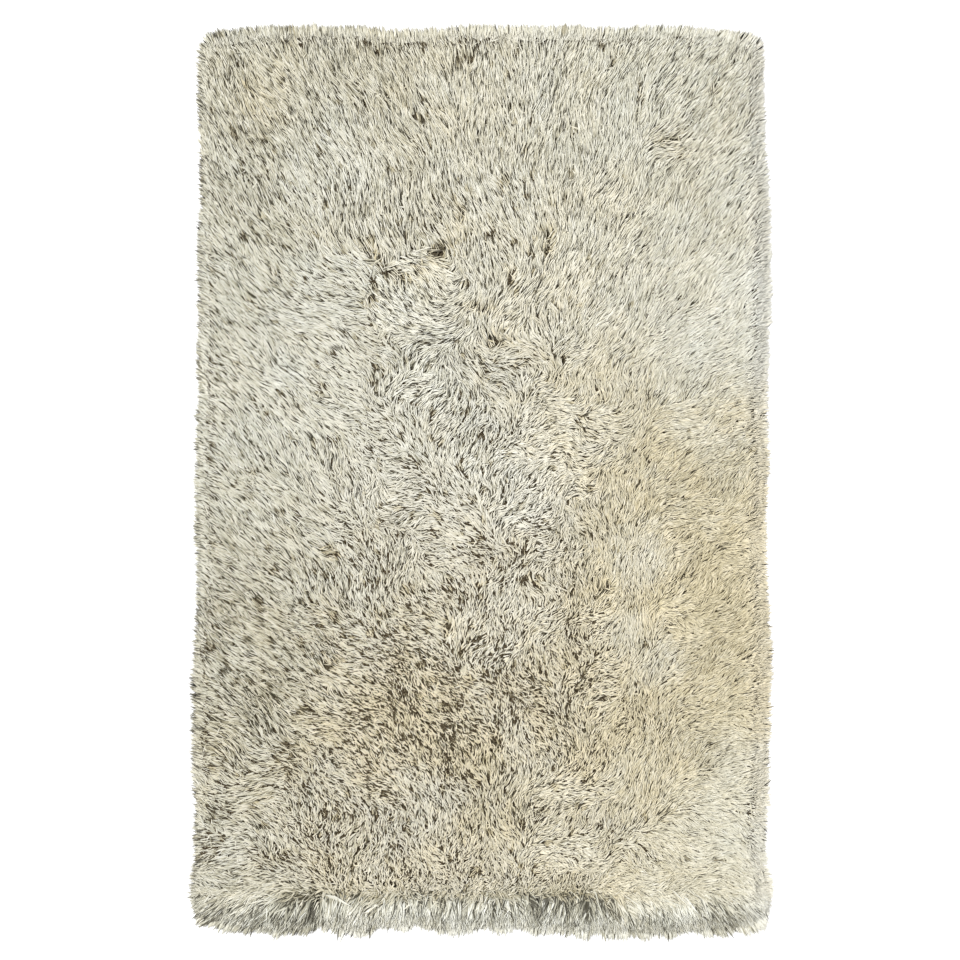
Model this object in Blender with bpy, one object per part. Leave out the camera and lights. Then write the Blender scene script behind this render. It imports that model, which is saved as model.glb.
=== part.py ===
"""Shag rug: a woven backing cloth that carries a long, loose cut pile.

The rug lies flat on the floor. The pile is combed outwards, so it reaches past the backing on
every side, and it falls furthest over the near end. Lengths are in metres. The origin is the
middle of the rug's footprint, on the floor. +Y runs to the far end, +X to the right and +Z up.
"""

import math
from collections import namedtuple

import bmesh
import bpy
from mathutils import Vector

# Driving dimensions
OVERALL_WIDTH = 1.150
OVERALL_LENGTH = 1.800
BACKING_WIDTH = 1.100
BACKING_LENGTH = 1.700
BACKING_THICKNESS = 0.003
BACKING_CORNER = 0.025
NEAR_REACH = 0.070
PILE_HEIGHT = 0.044
PILE_CORNER = 0.042
RIM_HEIGHT = 0.008
FIT_GAP = 0.0003

# The pile's crown falls to its rim over this distance, which is longer at the near end.
SIDE_FALL = 0.050
NEAR_FALL = 0.095

# The size of the quads that carry the pile's outline and its uneven top.
QUAD = 0.031

BACKING_Y = NEAR_REACH + BACKING_LENGTH / 2 - OVERALL_LENGTH / 2

# How far the pile reaches past the backing. On the left and right sides, along runs from 0 at
# the near end to 1 at the far end. On the near and far ends it runs from 0 at the left to 1 at
# the right.
Reach = namedtuple("Reach", "along reach")
LEFT_SIDE = (
    Reach(0.03, 0.025),
    Reach(0.09, 0.013),
    Reach(0.18, 0.019),
    Reach(0.28, 0.021),
    Reach(0.36, 0.012),
    Reach(0.50, 0.014),
    Reach(0.64, 0.009),
    Reach(0.73, 0.012),
    Reach(0.83, 0.008),
    Reach(0.97, 0.010),
)
RIGHT_SIDE = (
    Reach(0.03, 0.025),
    Reach(0.08, 0.012),
    Reach(0.18, 0.018),
    Reach(0.30, 0.024),
    Reach(0.43, 0.013),
    Reach(0.52, 0.020),
    Reach(0.57, 0.015),
    Reach(0.70, 0.024),
    Reach(0.79, 0.025),
    Reach(0.91, 0.012),
    Reach(0.97, 0.014),
)
FAR_END = (
    Reach(0.03, 0.018),
    Reach(0.11, 0.028),
    Reach(0.26, 0.030),
    Reach(0.36, 0.018),
    Reach(0.47, 0.028),
    Reach(0.62, 0.030),
    Reach(0.72, 0.024),
    Reach(0.83, 0.030),
    Reach(0.96, 0.016),
)
NEAR_END = (
    Reach(0.03, 0.044),
    Reach(0.10, 0.060),
    Reach(0.16, 0.068),
    Reach(0.21, 0.058),
    Reach(0.27, 0.070),
    Reach(0.37, 0.055),
    Reach(0.46, 0.066),
    Reach(0.53, 0.058),
    Reach(0.67, 0.066),
    Reach(0.83, 0.069),
    Reach(0.93, 0.062),
    Reach(0.98, 0.050),
)

# Places where the pile parts, as soft troughs: the middle of each, its heading from +X in
# degrees, half its length and width, and its depth.
Parting = namedtuple("Parting", "x y heading half_length half_width depth")
PARTINGS = (
    Parting(-0.190, 0.435, -38, 0.055, 0.030, 0.010),
    Parting(-0.080, 0.447, 28, 0.050, 0.030, 0.012),
    Parting(-0.219, 0.355, 30, 0.032, 0.030, 0.009),
    Parting(0.000, 0.336, -10, 0.050, 0.028, 0.008),
    Parting(0.033, 0.276, 10, 0.045, 0.030, 0.015),
    Parting(-0.037, 0.528, 80, 0.050, 0.030, 0.008),
    Parting(0.048, 0.587, 75, 0.045, 0.030, 0.008),
    Parting(-0.427, 0.765, -40, 0.055, 0.034, 0.008),
    Parting(0.316, 0.745, 85, 0.060, 0.030, 0.006),
    Parting(0.371, 0.672, 10, 0.035, 0.030, 0.009),
    Parting(-0.290, -0.145, -48, 0.055, 0.028, 0.010),
    Parting(-0.136, -0.219, 60, 0.032, 0.030, 0.008),
    Parting(-0.270, -0.361, 35, 0.040, 0.030, 0.009),
    Parting(-0.066, -0.294, 85, 0.040, 0.028, 0.009),
    Parting(0.246, -0.215, 40, 0.035, 0.030, 0.009),
    Parting(0.400, -0.191, 20, 0.040, 0.028, 0.006),
    Parting(0.030, -0.520, 85, 0.050, 0.030, 0.011),
    Parting(-0.160, -0.760, 12, 0.160, 0.034, 0.008),
    Parting(0.310, -0.800, 6, 0.150, 0.034, 0.007),
)

# The combed tufts lie in shallow rolls. Each row is one wave over the whole top.
Roll = namedtuple("Roll", "length heading shift rise")
ROLLS = (
    Roll(0.210, 35, 0.4, 0.0016),
    Roll(0.157, 118, 1.9, 0.0015),
    Roll(0.118, 75, 3.1, 0.0012),
    Roll(0.094, 160, 5.0, 0.0010),
)


def eased(share):
    """A share from 0 to 1 that starts and ends gently."""
    return share * share * (3 - 2 * share)


def reach_at(rows, along):
    """The reach between two rows of a side, eased from each to the next."""
    if along <= rows[0].along:
        return rows[0].reach
    for here, there in zip(rows, rows[1:]):
        if along <= there.along:
            share = (along - here.along) / (there.along - here.along)
            return here.reach + (there.reach - here.reach) * eased(share)
    return rows[-1].reach


def rounded(across, along):
    """Shares of the half width and half length, from -1 to 1, with each corner drawn to its arc."""
    start_x = 1 - 2 * PILE_CORNER / OVERALL_WIDTH
    start_y = 1 - 2 * PILE_CORNER / OVERALL_LENGTH
    past_x = (abs(across) - start_x) / (1 - start_x)
    past_y = (abs(along) - start_y) / (1 - start_y)
    if past_x <= 0 or past_y <= 0:
        return across, along
    arc_x = past_x * math.sqrt(1 - past_y * past_y / 2)
    arc_y = past_y * math.sqrt(1 - past_x * past_x / 2)
    return (
        math.copysign(start_x + arc_x * (1 - start_x), across),
        math.copysign(start_y + arc_y * (1 - start_y), along),
    )


def outline_point(across, along):
    """The place on the floor of a point given by its shares of the half width and half length."""
    share_x, share_y = (across + 1) / 2, (along + 1) / 2
    left = -BACKING_WIDTH / 2 - reach_at(LEFT_SIDE, share_y)
    right = BACKING_WIDTH / 2 + reach_at(RIGHT_SIDE, share_y)
    near = BACKING_Y - BACKING_LENGTH / 2 - reach_at(NEAR_END, share_x)
    far = BACKING_Y + BACKING_LENGTH / 2 + reach_at(FAR_END, share_x)
    return left + (right - left) * share_x, near + (far - near) * share_y


def crown(across, along):
    """The share of the full height, from 0 at the rim to 1 past the fall."""
    side = (1 - abs(across)) * OVERALL_WIDTH / 2 / SIDE_FALL
    end_fall = NEAR_FALL if along < 0 else SIDE_FALL
    end = (1 - abs(along)) * OVERALL_LENGTH / 2 / end_fall
    left = max(0.0, 1 - side) ** 2 + max(0.0, 1 - end) ** 2
    return math.sqrt(max(0.0, 1 - left))


def rolls(x, y):
    """The height that the combed tufts add or take at a place."""
    total = 0.0
    for roll in ROLLS:
        heading = math.radians(roll.heading)
        way = x * math.cos(heading) + y * math.sin(heading)
        total += roll.rise * math.sin(2 * math.pi * way / roll.length + roll.shift)
    return total


def trough(x, y):
    """The depth of the partings at a place."""
    total = 0.0
    for parting in PARTINGS:
        heading = math.radians(parting.heading)
        off_x, off_y = x - parting.x, y - parting.y
        lengthways = off_x * math.cos(heading) + off_y * math.sin(heading)
        sideways = off_y * math.cos(heading) - off_x * math.sin(heading)
        far_out = (lengthways / parting.half_length) ** 2 + (sideways / parting.half_width) ** 2
        total += parting.depth * math.exp(-far_out)
    return total


def top_height(across, along, x, y):
    """The height of the pile's top over the floor."""
    share = crown(across, along)
    uneven = (rolls(x, y) - trough(x, y)) * share
    return RIM_HEIGHT + (PILE_HEIGHT - RIM_HEIGHT) * share + uneven


def material(name, colour, roughness):
    made = bpy.data.materials.new(name)
    made.use_nodes = True
    shader = made.node_tree.nodes["Principled BSDF"]
    shader.inputs["Base Color"].default_value = (*colour, 1.0)
    shader.inputs["Roughness"].default_value = roughness
    shader.inputs["Metallic"].default_value = 0.0
    return made


def new_object(name, shape, collection):
    """An object in the collection, from a bmesh that this frees."""
    mesh = bpy.data.meshes.new(name)
    shape.to_mesh(mesh)
    shape.free()
    made = bpy.data.objects.new(name, mesh)
    collection.objects.link(made)
    return made


def rounded_plate(name, width, length, low, high, corner, collection):
    """A flat plate in the backing's place, with round corners, between two heights."""
    shape = bmesh.new()
    bmesh.ops.create_cube(shape, size=1.0)
    bmesh.ops.scale(shape, vec=(width, length, high - low), verts=shape.verts)
    bmesh.ops.translate(shape, vec=(0, BACKING_Y, (low + high) / 2), verts=shape.verts)
    upright = [e for e in shape.edges if abs(e.verts[0].co.z - e.verts[1].co.z) > (high - low) / 2]
    bmesh.ops.bevel(shape, geom=upright, offset=corner, segments=8, profile=0.5, affect="EDGES")
    return new_object(name, shape, collection)


def make_backing(collection):
    """The backing cloth, flat on the floor."""
    backing = rounded_plate(
        "backing",
        BACKING_WIDTH,
        BACKING_LENGTH,
        0.0,
        BACKING_THICKNESS,
        BACKING_CORNER,
        collection,
    )
    backing.data.materials.append(material("backing_cloth", (0.42, 0.34, 0.25), 0.95))
    return backing


def make_pile_slab():
    """The pile as a closed slab: a grid laid on the outline, raised from the floor to the top."""
    shape = bmesh.new()
    bmesh.ops.create_grid(
        shape,
        x_segments=round(OVERALL_WIDTH / QUAD),
        y_segments=round(OVERALL_LENGTH / QUAD),
        size=1.0,
    )
    raised = bmesh.ops.extrude_face_region(shape, geom=list(shape.faces))
    tops = {v for v in raised["geom"] if isinstance(v, bmesh.types.BMVert)}
    for vert in shape.verts:
        across, along = rounded(vert.co.x, vert.co.y)
        x, y = outline_point(across, along)
        height = top_height(across, along, x, y) if vert in tops else 0.0
        vert.co = Vector((x, y, height))
    bmesh.ops.recalc_face_normals(shape, faces=shape.faces)
    return shape


def make_pile(collection, helpers):
    """The pile's outer form, hollowed underneath where the backing lies."""
    pile = new_object("pile", make_pile_slab(), collection)
    pile.data.materials.append(material("pile_yarn", (0.66, 0.61, 0.49), 0.75))
    cutter = rounded_plate(
        "backing_room",
        BACKING_WIDTH + 2 * FIT_GAP,
        BACKING_LENGTH + 2 * FIT_GAP,
        -BACKING_THICKNESS,
        BACKING_THICKNESS + FIT_GAP,
        BACKING_CORNER + FIT_GAP,
        helpers,
    )
    cutter.hide_render = True
    cutter.display_type = "WIRE"
    cut = pile.modifiers.new("room_for_backing", "BOOLEAN")
    cut.operation = "DIFFERENCE"
    cut.object = cutter
    pile.data.shade_smooth()
    pile.data.set_sharp_from_angle(angle=math.radians(50))
    return pile


def main():
    for old in list(bpy.data.objects):
        bpy.data.objects.remove(old)
    rug = bpy.data.collections.new("shag_rug")
    helpers = bpy.data.collections.new("cutters")
    bpy.context.scene.collection.children.link(rug)
    bpy.context.scene.collection.children.link(helpers)
    make_backing(rug)
    make_pile(rug, helpers)


main()
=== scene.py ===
"""The looks of a shag rug: its woven backing, the shaded depth of its pile and its yarns.

Everything is in metres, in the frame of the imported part: the rug lies on the floor, +Y runs to
its far end, +X to the right. The CAD solid of the pile gives the rug's outline and the height
of its top, and every yarn is grown to that top and kept inside that outline.
"""

import math
from collections import namedtuple

import bpy
import numpy as np
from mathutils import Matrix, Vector
from mathutils.bvhtree import BVHTree
from mathutils.kdtree import KDTree


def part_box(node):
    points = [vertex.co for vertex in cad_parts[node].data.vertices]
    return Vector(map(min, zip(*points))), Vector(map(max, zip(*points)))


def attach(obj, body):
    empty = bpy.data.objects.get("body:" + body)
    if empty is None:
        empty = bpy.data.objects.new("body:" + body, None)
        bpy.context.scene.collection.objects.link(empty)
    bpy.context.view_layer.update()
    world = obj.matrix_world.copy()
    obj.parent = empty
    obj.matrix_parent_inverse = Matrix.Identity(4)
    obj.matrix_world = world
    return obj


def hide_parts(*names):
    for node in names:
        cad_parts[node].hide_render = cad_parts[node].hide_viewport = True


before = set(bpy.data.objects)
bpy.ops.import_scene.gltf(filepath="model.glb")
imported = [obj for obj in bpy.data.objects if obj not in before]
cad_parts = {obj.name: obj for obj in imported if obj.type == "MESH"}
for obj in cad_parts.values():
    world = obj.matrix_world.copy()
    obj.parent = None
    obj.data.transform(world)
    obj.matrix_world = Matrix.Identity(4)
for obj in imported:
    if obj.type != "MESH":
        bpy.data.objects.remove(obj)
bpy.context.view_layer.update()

SEED = 738
BACKING_LOW, BACKING_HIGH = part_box("backing")
PILE_LOW, PILE_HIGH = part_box("pile")

# The yarns grow in layers. Each has its count, the pieces it is split into, a yarn's radius, the
# shares of its length at which it leaves the bed and at which it is widest, how far under the
# pile's top its tips end at least and at most, and how much darker it is painted, as painted shade
# for its depth.
Layer = namedtuple("Layer", "name count bands radius start widest shallow deep dark")
TOP = Layer("top", 72000, 2, 0.0010, 0.20, 0.62, 0.0, 0.005, 0.0)
UPPER = Layer("upper", 106000, 3, 0.0011, 0.25, 0.58, 0.001, 0.010, 0.0)
MIDDLE = Layer("middle", 24000, 1, 0.0019, 0.25, 0.58, 0.004, 0.011, 0.08)
EDGE = Layer("edge", 15000, 1, 0.0012, 0.34, 0.62, 0.0, 0.010, 0.0)
FRINGE = Layer("fringe", 15000, 1, 0.0013, 0.32, 0.62, 0.0, 0.010, 0.0)
LAYERS = (TOP, UPPER, MIDDLE, EDGE, FRINGE)

# Yarn is sown this many times too thickly, and then thinned to its count.
SOWN = 1.6
TUFT_PITCH = 0.0125

# The band that the edge layer fills along the left, right and far edges, with its own raggedness,
# and the band that the fringe layer fills along the near end.
RIM_WIDTH = 0.030
RIM_RAGGED = (0.45, 1.35)
FRINGE_WIDTH = 0.050

# The share of a yarn's reach that lies behind its middle, and the gap it keeps over the floor.
ROOT_SHARE = 0.55
FLOOR_GAP = 0.0012


# ---- Smooth noise and easing ----

# The noise covers the floor around the rug, this far each way from the origin.
NOISE_HALF_WIDTH, NOISE_HALF_LENGTH = 1.2, 1.4

# Each kind of noise: the size of its patches, and its own seed.
SWIRL_PATCHES = (0.066, 1)
SMALL_SWIRL_PATCHES = (0.028, 2)
TURN_PATCHES = (0.05, 7)
COMBED_PATCHES = (0.05, 4)
RISE_PATCHES = (0.022, 5)
SHADE_PATCHES = (0.04, 9)
WARM_PATCHES = (0.07, 6)
SMALL_WARM_PATCHES = (0.03, 17)
TIP_PATCHES = (0.045, 10)
DROP_PATCHES = (0.035, 8)
FALL_PATCHES = (0.05, 3)
LOCK_PATCHES = (0.06, 14)
SMALL_LOCK_PATCHES = (0.02, 15)
BED_PATCHES = (0.045, 12)
SMALL_BED_PATCHES = (0.020, 11)
BED_RIM_PATCHES = (0.03, 18)
NEAR_BED_PATCHES = (0.04, 16)


def eased(share):
    """Shares clipped to 0..1 that start and end gently."""
    share = np.clip(share, 0.0, 1.0)
    return share * share * (3 - 2 * share)


def patchy(x, y, size, seed):
    """Smooth noise from -1 to 1 whose patches are about this size."""
    across = int(2 * NOISE_HALF_WIDTH / size) + 4
    along = int(2 * NOISE_HALF_LENGTH / size) + 4
    grid = np.random.default_rng(SEED + seed).uniform(-1, 1, (across, along))
    u = (np.asarray(x) + NOISE_HALF_WIDTH) / size
    v = (np.asarray(y) + NOISE_HALF_LENGTH) / size
    i = np.clip(u.astype(int), 0, across - 2)
    j = np.clip(v.astype(int), 0, along - 2)
    s, t = eased(u - i), eased(v - j)
    low = grid[i, j] * (1 - s) + grid[i + 1, j] * s
    high = grid[i, j + 1] * (1 - s) + grid[i + 1, j + 1] * s
    return low * (1 - t) + high * t


# ---- The CAD pile as a height and an outline ----

# The pitch of the grid of heights, and the height that each ray starts from.
PROBE = 0.004
PROBE_FROM = 1.0

# The outline's edges are read this far in from the backing's corners, where they are plain.
CORNER_ROOM = 0.02

# A tip that would pass the outline is drawn back to this share of its way at the least.
LEAST_SHARE = 0.1


def probe_pile():
    """The height of the CAD pile on a grid of points, with 0 where it isn't."""
    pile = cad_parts["pile"]
    pile.data.calc_loop_triangles()
    corners = [v.co for v in pile.data.vertices]
    faces = [tuple(t.vertices) for t in pile.data.loop_triangles]
    tree = BVHTree.FromPolygons(corners, faces)
    xs = np.arange(PILE_LOW.x - 3 * PROBE, PILE_HIGH.x + 3 * PROBE, PROBE)
    ys = np.arange(PILE_LOW.y - 3 * PROBE, PILE_HIGH.y + 3 * PROBE, PROBE)
    heights = np.zeros((len(xs), len(ys)))
    down = Vector((0, 0, -1))
    for i, x in enumerate(xs):
        for j, y in enumerate(ys):
            hit = tree.ray_cast(Vector((x, y, PROBE_FROM)), down)[0]
            heights[i, j] = hit.z if hit else 0.0
    return xs, ys, heights


PROBE_X, PROBE_Y, HEIGHTS = probe_pile()


def pile_height(x, y):
    """The height of the pile's top at these points."""
    u = np.clip((x - PROBE_X[0]) / PROBE, 0, len(PROBE_X) - 1.001)
    v = np.clip((y - PROBE_Y[0]) / PROBE, 0, len(PROBE_Y) - 1.001)
    i, j = u.astype(int), v.astype(int)
    s, t = u - i, v - j
    low = HEIGHTS[i, j] * (1 - s) + HEIGHTS[i + 1, j] * s
    high = HEIGHTS[i, j + 1] * (1 - s) + HEIGHTS[i + 1, j + 1] * s
    return low * (1 - t) + high * t


def outline(values, other, wanted):
    """For each row of the height grid, the lowest and highest value where the pile is."""
    filled = wanted > 0
    first = values[filled.argmax(axis=0)] - PROBE / 2
    last = values[len(values) - 1 - filled[::-1].argmax(axis=0)] + PROBE / 2
    some = filled.any(axis=0)
    return other[some], first[some], last[some]


ROW_Y, LEFT_X, RIGHT_X = outline(PROBE_X, PROBE_Y, HEIGHTS)
COLUMN_X, NEAR_Y, FAR_Y = outline(PROBE_Y, PROBE_X, HEIGHTS.T)


def room(x, y):
    """How far each point is inside the outline's left, right, near and far edges."""
    inner = np.clip(x, BACKING_LOW.x + CORNER_ROOM, BACKING_HIGH.x - CORNER_ROOM)
    left, right = np.interp(y, ROW_Y, LEFT_X), np.interp(y, ROW_Y, RIGHT_X)
    near, far = np.interp(inner, COLUMN_X, NEAR_Y), np.interp(inner, COLUMN_X, FAR_Y)
    return x - left, right - x, y - near, far - y


def cut_back(start, end, low, high):
    """The share of the way from start to end that stays between the limits."""
    limit = np.clip(end, low, high)
    step = np.where(limit == end, 1.0, end - start)
    return np.where(limit == end, 1.0, np.clip((limit - start) / step, LEAST_SHARE, 1.0))


def stop_at_outline(x, y, tip_x, tip_y, past_side, past_end):
    """Tips that would pass the outline, drawn back towards their roots to end this far past it."""
    inner_x = np.clip(tip_x, BACKING_LOW.x + CORNER_ROOM, BACKING_HIGH.x - CORNER_ROOM)
    near = np.interp(inner_x, COLUMN_X, NEAR_Y) - past_end
    far = np.interp(inner_x, COLUMN_X, FAR_Y) + past_end
    share = cut_back(y, tip_y, near, far)
    tip_x, tip_y = x + share * (tip_x - x), y + share * (tip_y - y)
    inner_y = np.clip(tip_y, BACKING_LOW.y + CORNER_ROOM, BACKING_HIGH.y - CORNER_ROOM)
    left = np.interp(inner_y, ROW_Y, LEFT_X) - past_side
    right = np.interp(inner_y, ROW_Y, RIGHT_X) + past_side
    share = cut_back(x, tip_x, left, right)
    return x + share * (tip_x - x), y + share * (tip_y - y)


# ---- How the pile is combed ----

# One row for each region: its middle and size, the heading of its tips in degrees from +X, how
# flat it is combed, how much its tufts swirl, how rough its top is, how warm its yarn looks and
# how pale. The warmth and paleness are painted light and shade, which stand for how the lie of
# the pile catches the light. The last five run from 0 to 1.
Lay = namedtuple("Lay", "x y size heading combed swirl rough warm pale")
LAYS = tuple(Lay(*row) for row in (
    (-0.5, 0.83, 0.1, 112, 0.85, 0.1, 0.55, 0.3, 0.08),
    (-0.44, 0.66, 0.1, 125, 0.9, 0.1, 0.65, 0.3, 0.0),
    (-0.5, 0.36, 0.1, 135, 0.9, 0.1, 0.6, 0.25, 0.18),
    (-0.36, 0.12, 0.1, 135, 0.85, 0.15, 0.6, 0.2, 0.45),
    (-0.5, -0.08, 0.1, 135, 0.85, 0.12, 0.6, 0.25, 0.12),
    (-0.46, -0.33, 0.1, 137, 0.75, 0.2, 0.75, 0.45, 0.02),
    (-0.48, -0.55, 0.1, 145, 0.7, 0.3, 0.75, 0.55, 0.02),
    (-0.52, -0.73, 0.1, 160, 0.7, 0.35, 0.65, 0.4, 0.35),
    (-0.53, -0.84, 0.1, 190, 0.8, 0.25, 0.6, 0.3, 0.0),
    (-0.28, 0.8, 0.1, 113, 0.85, 0.15, 0.65, 0.4, 0.0),
    (-0.08, 0.79, 0.1, 108, 0.85, 0.15, 0.6, 0.4, 0.15),
    (-0.03, 0.66, 0.1, 103, 0.85, 0.15, 0.6, 0.4, 0.38),
    (0.08, 0.75, 0.1, 90, 0.85, 0.15, 0.55, 0.4, 0.5),
    (0.2, 0.72, 0.1, 80, 0.85, 0.15, 0.45, 0.4, 0.2),
    (0.4, 0.77, 0.1, 52, 0.9, 0.1, 0.3, 0.3, 0.12),
    (0.43, 0.52, 0.1, 50, 0.9, 0.1, 0.2, 0.3, 0.2),
    (0.49, 0.3, 0.1, 40, 0.85, 0.15, 0.05, 0.2, 0.5),
    (0.47, 0.06, 0.1, 20, 0.7, 0.35, 0.05, 0.75, 0.06),
    (0.49, -0.16, 0.1, 5, 0.65, 0.4, 0.05, 0.95, 0.05),
    (0.47, -0.37, 0.1, 15, 0.65, 0.35, 0.0, 1.0, 0.0),
    (0.51, -0.55, 0.1, 10, 0.7, 0.3, 0.05, 0.7, 0.0),
    (0.51, -0.75, 0.1, -10, 0.8, 0.2, 0.0, 0.3, 0.12),
    (0.53, -0.86, 0.1, -20, 0.8, 0.2, 0.1, 0.4, 0.0),
    (-0.12, 0.56, 0.08, 113, 0.8, 0.2, 0.75, 0.45, 0.3),
    (0.03, 0.5, 0.08, 100, 0.8, 0.2, 0.75, 0.4, 0.52),
    (0.14, 0.42, 0.07, 90, 0.8, 0.2, 0.65, 0.4, 0.5),
    (0.26, 0.42, 0.08, 66, 0.85, 0.15, 0.25, 0.45, 0.32),
    (0.3, 0.27, 0.07, 50, 0.75, 0.3, 0.12, 0.5, 0.38),
    (0.12, 0.28, 0.07, 78, 0.7, 0.5, 0.6, 0.45, 0.5),
    (0.02, 0.22, 0.05, 165, 0.6, 0.6, 0.8, 0.4, 0.68),
    (-0.26, 0.26, 0.08, 145, 0.8, 0.25, 0.65, 0.2, 0.5),
    (-0.08, 0.14, 0.08, 60, 0.6, 0.8, 0.75, 0.35, 0.5),
    (0.19, 0.16, 0.07, 40, 0.6, 0.6, 0.3, 0.8, 0.3),
    (-0.14, -0.01, 0.08, 150, 0.6, 0.7, 0.7, 0.35, 0.9),
    (0.12, 0.0, 0.1, 60, 0.55, 0.85, 0.65, 0.35, 1.0),
    (0.28, -0.06, 0.1, 40, 0.6, 0.6, 0.3, 1.0, 0.12),
    (-0.2, -0.22, 0.1, 135, 0.55, 0.35, 0.9, 0.5, 0.58),
    (0.04, -0.23, 0.1, 100, 0.45, 0.55, 0.8, 0.5, 1.0),
    (0.24, -0.3, 0.08, 55, 0.45, 0.6, 0.5, 0.9, 0.58),
    (-0.16, -0.48, 0.1, 132, 0.45, 0.2, 1.0, 0.8, 0.8),
    (0.08, -0.45, 0.1, 118, 0.4, 0.3, 1.0, 0.75, 1.0),
    (0.32, -0.5, 0.08, 60, 0.5, 0.4, 0.45, 1.0, 0.35),
    (-0.3, -0.7, 0.1, 135, 0.4, 0.6, 0.85, 0.7, 0.85),
    (-0.07, -0.78, 0.08, 90, 0.35, 0.6, 0.5, 0.65, 1.0),
    (0.18, -0.74, 0.08, 30, 0.4, 0.6, 0.4, 0.75, 0.5),
    (0.39, -0.76, 0.08, 0, 0.6, 0.4, 0.1, 0.6, 0.08),
    # Small places that lie unlike the region around them.
    (-0.43, 0.765, 0.025, 118, 0.8, 0.2, 0.7, 0.7, 0.1),
    (-0.21, 0.49, 0.045, 118, 0.85, 0.15, 0.8, 0.4, 0.35),
    (-0.28, 0.62, 0.05, 117, 0.88, 0.12, 0.6, 0.15, 0.45),
    (-0.28, 0.375, 0.035, 148, 0.85, 0.15, 0.6, 0.2, 0.45),
    (-0.17, 0.355, 0.035, 318, 0.85, 0.1, 0.7, 0.3, 0.25),
    (-0.12, 0.395, 0.03, 310, 0.8, 0.15, 0.7, 0.35, 0.25),
    (-0.1, 0.3, 0.035, 352, 0.8, 0.15, 0.7, 0.25, 0.3),
    (-0.04, 0.32, 0.025, 40, 0.75, 0.2, 0.65, 0.4, 0.45),
    (0.37, 0.665, 0.018, 30, 0.7, 0.4, 0.5, 0.5, 0.1),
    (0.3, 0.69, 0.035, 82, 0.9, 0.1, 0.3, 0.2, 0.35),
    (0.42, 0.28, 0.06, 42, 0.8, 0.2, 0.05, 0.22, 0.38),
    (0.46, 0.088, 0.025, 10, 0.7, 0.4, 0.05, 0.65, 0.25),
    (0.31, -0.155, 0.03, 70, 0.7, 0.3, 0.15, 0.5, 0.5),
    (0.3, -0.3, 0.02, 80, 0.8, 0.2, 0.15, 0.65, 0.5),
    (0.35, -0.361, 0.02, 30, 0.7, 0.3, 0.15, 0.65, 0.4),
    (0.33, -0.6, 0.035, 72, 0.8, 0.2, 0.3, 0.8, 0.25),
    (0.46, -0.6, 0.06, 20, 0.7, 0.3, 0.0, 0.45, 0.0),
    (0.02, -0.64, 0.05, 100, 0.6, 0.3, 0.6, 0.8, 0.3),
    (-0.1, -0.62, 0.035, 110, 0.5, 0.3, 0.75, 0.55, 1.0),
    (-0.1, -0.5, 0.05, 128, 0.4, 0.2, 1.0, 0.9, 0.8),
    (-0.1, 0.1, 0.04, 45, 0.7, 0.3, 0.6, 0.25, 0.65),
))

# A place of this size counts once, and a smaller one counts more.
REGION = 0.10

# Places where the pile parts: the middle, the heading of the line, half its length and width,
# and how hard the tufts lean away from it.
Parting = namedtuple("Parting", "x y heading half_length half_width push")
PARTINGS = tuple(Parting(*row) for row in (
    (-0.209, 0.443, -49, 0.03, 0.014, 1.2),
    (-0.163, 0.405, -26, 0.03, 0.014, 1.3),
    (-0.122, 0.415, 58, 0.022, 0.012, 1.2),
    (-0.076, 0.453, 30, 0.038, 0.014, 1.3),
    (-0.219, 0.355, 40, 0.02, 0.012, 1.3),
    (-0.037, 0.525, 82, 0.026, 0.01, 1.1),
    (0.048, 0.587, 78, 0.026, 0.01, 1.1),
    (0.0, 0.337, -8, 0.04, 0.014, 1.0),
    (0.033, 0.276, 12, 0.022, 0.014, 1.5),
    (0.06, 0.385, 100, 0.03, 0.01, 0.9),
    (0.135, 0.46, 80, 0.035, 0.01, 1.0),
    (0.01, 0.2, 60, 0.022, 0.012, 0.9),
    (-0.427, 0.765, -40, 0.02, 0.012, 0.4),
    (0.316, 0.745, 87, 0.05, 0.008, 0.9),
    (0.371, 0.672, 10, 0.02, 0.009, 0.9),
    (0.462, 0.765, 60, 0.012, 0.01, 0.9),
    (-0.29, -0.145, -48, 0.022, 0.012, 1.2),
    (-0.4, 0.405, -42, 0.018, 0.008, 0.9),
    (-0.31, 0.18, -40, 0.016, 0.009, 0.9),
    (-0.136, -0.219, 60, 0.014, 0.012, 1.2),
    (-0.193, -0.268, 20, 0.016, 0.01, 1.0),
    (-0.29, -0.363, 35, 0.02, 0.012, 1.2),
    (-0.066, -0.294, 88, 0.022, 0.01, 1.3),
    (-0.021, -0.4, 70, 0.02, 0.01, 1.1),
    (0.246, -0.215, 50, 0.02, 0.013, 1.4),
    (0.4, -0.191, 20, 0.03, 0.01, 0.8),
    (0.03, -0.52, 88, 0.022, 0.012, 1.2),
    (0.2, -0.64, 60, 0.018, 0.01, 1.0),
))

# How far the tufts beside a parting stand back from it, and over what distance that changes sides.
PARTING_OPENS = 0.007
PARTING_LINE = 0.005

# The last rows of pile at the near end fall over it, each heading its own way along the end. They
# start to fall here, over this distance.
FALL_Y = -0.850
DRAPE = 0.022
Fall = namedtuple("Fall", "x heading")
FALLS = tuple(Fall(*row) for row in (
    (-0.56, 185),
    (-0.50, 208),
    (-0.42, 228),
    (-0.33, 238),
    (-0.25, 248),
    (-0.15, 262),
    (0.05, 268),
    (0.20, 274),
    (0.35, 290),
    (0.45, 304),
    (0.52, 325),
    (0.57, 350),
))
FALL_TURN = 0.20

# How combed and how warm the pile is where it falls.
FALL_COMBED = 0.95
FALL_COOLS = 0.85
FRINGE_WARM = 0.25

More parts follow.
